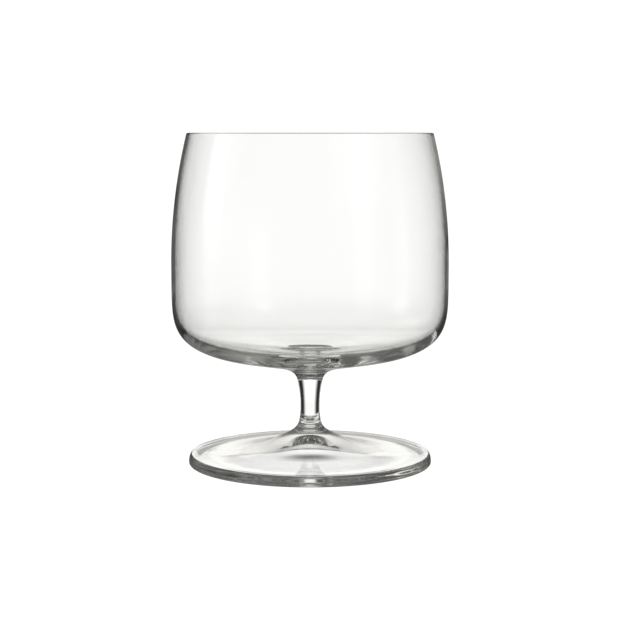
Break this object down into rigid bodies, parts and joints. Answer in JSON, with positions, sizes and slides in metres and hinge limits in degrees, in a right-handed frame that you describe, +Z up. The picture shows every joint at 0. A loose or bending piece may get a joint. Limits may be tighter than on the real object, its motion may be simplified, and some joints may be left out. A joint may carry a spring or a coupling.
{
  "type": "brandy snifter",
  "caption": "Clear glass brandy snifter: wide round bowl with a flattened base and drawn-in mouth, on a short waisted stem and a round foot, for serving spirits.",
  "frame": {"origin": "on the table, under the centre of the foot", "axes": "+Z up along the axis of the glass; X and Y are any two square directions, since the glass is round"},
  "size_m": [0.096, 0.096, 0.115],
  "materials": {
    "clear_glass": "colourless soda-lime glass, fire polished"
  },
  "bodies": {
    "root": {"bowl": "clear_glass", "stem": "clear_glass", "foot": "clear_glass"}
  },
  "joints": []
}
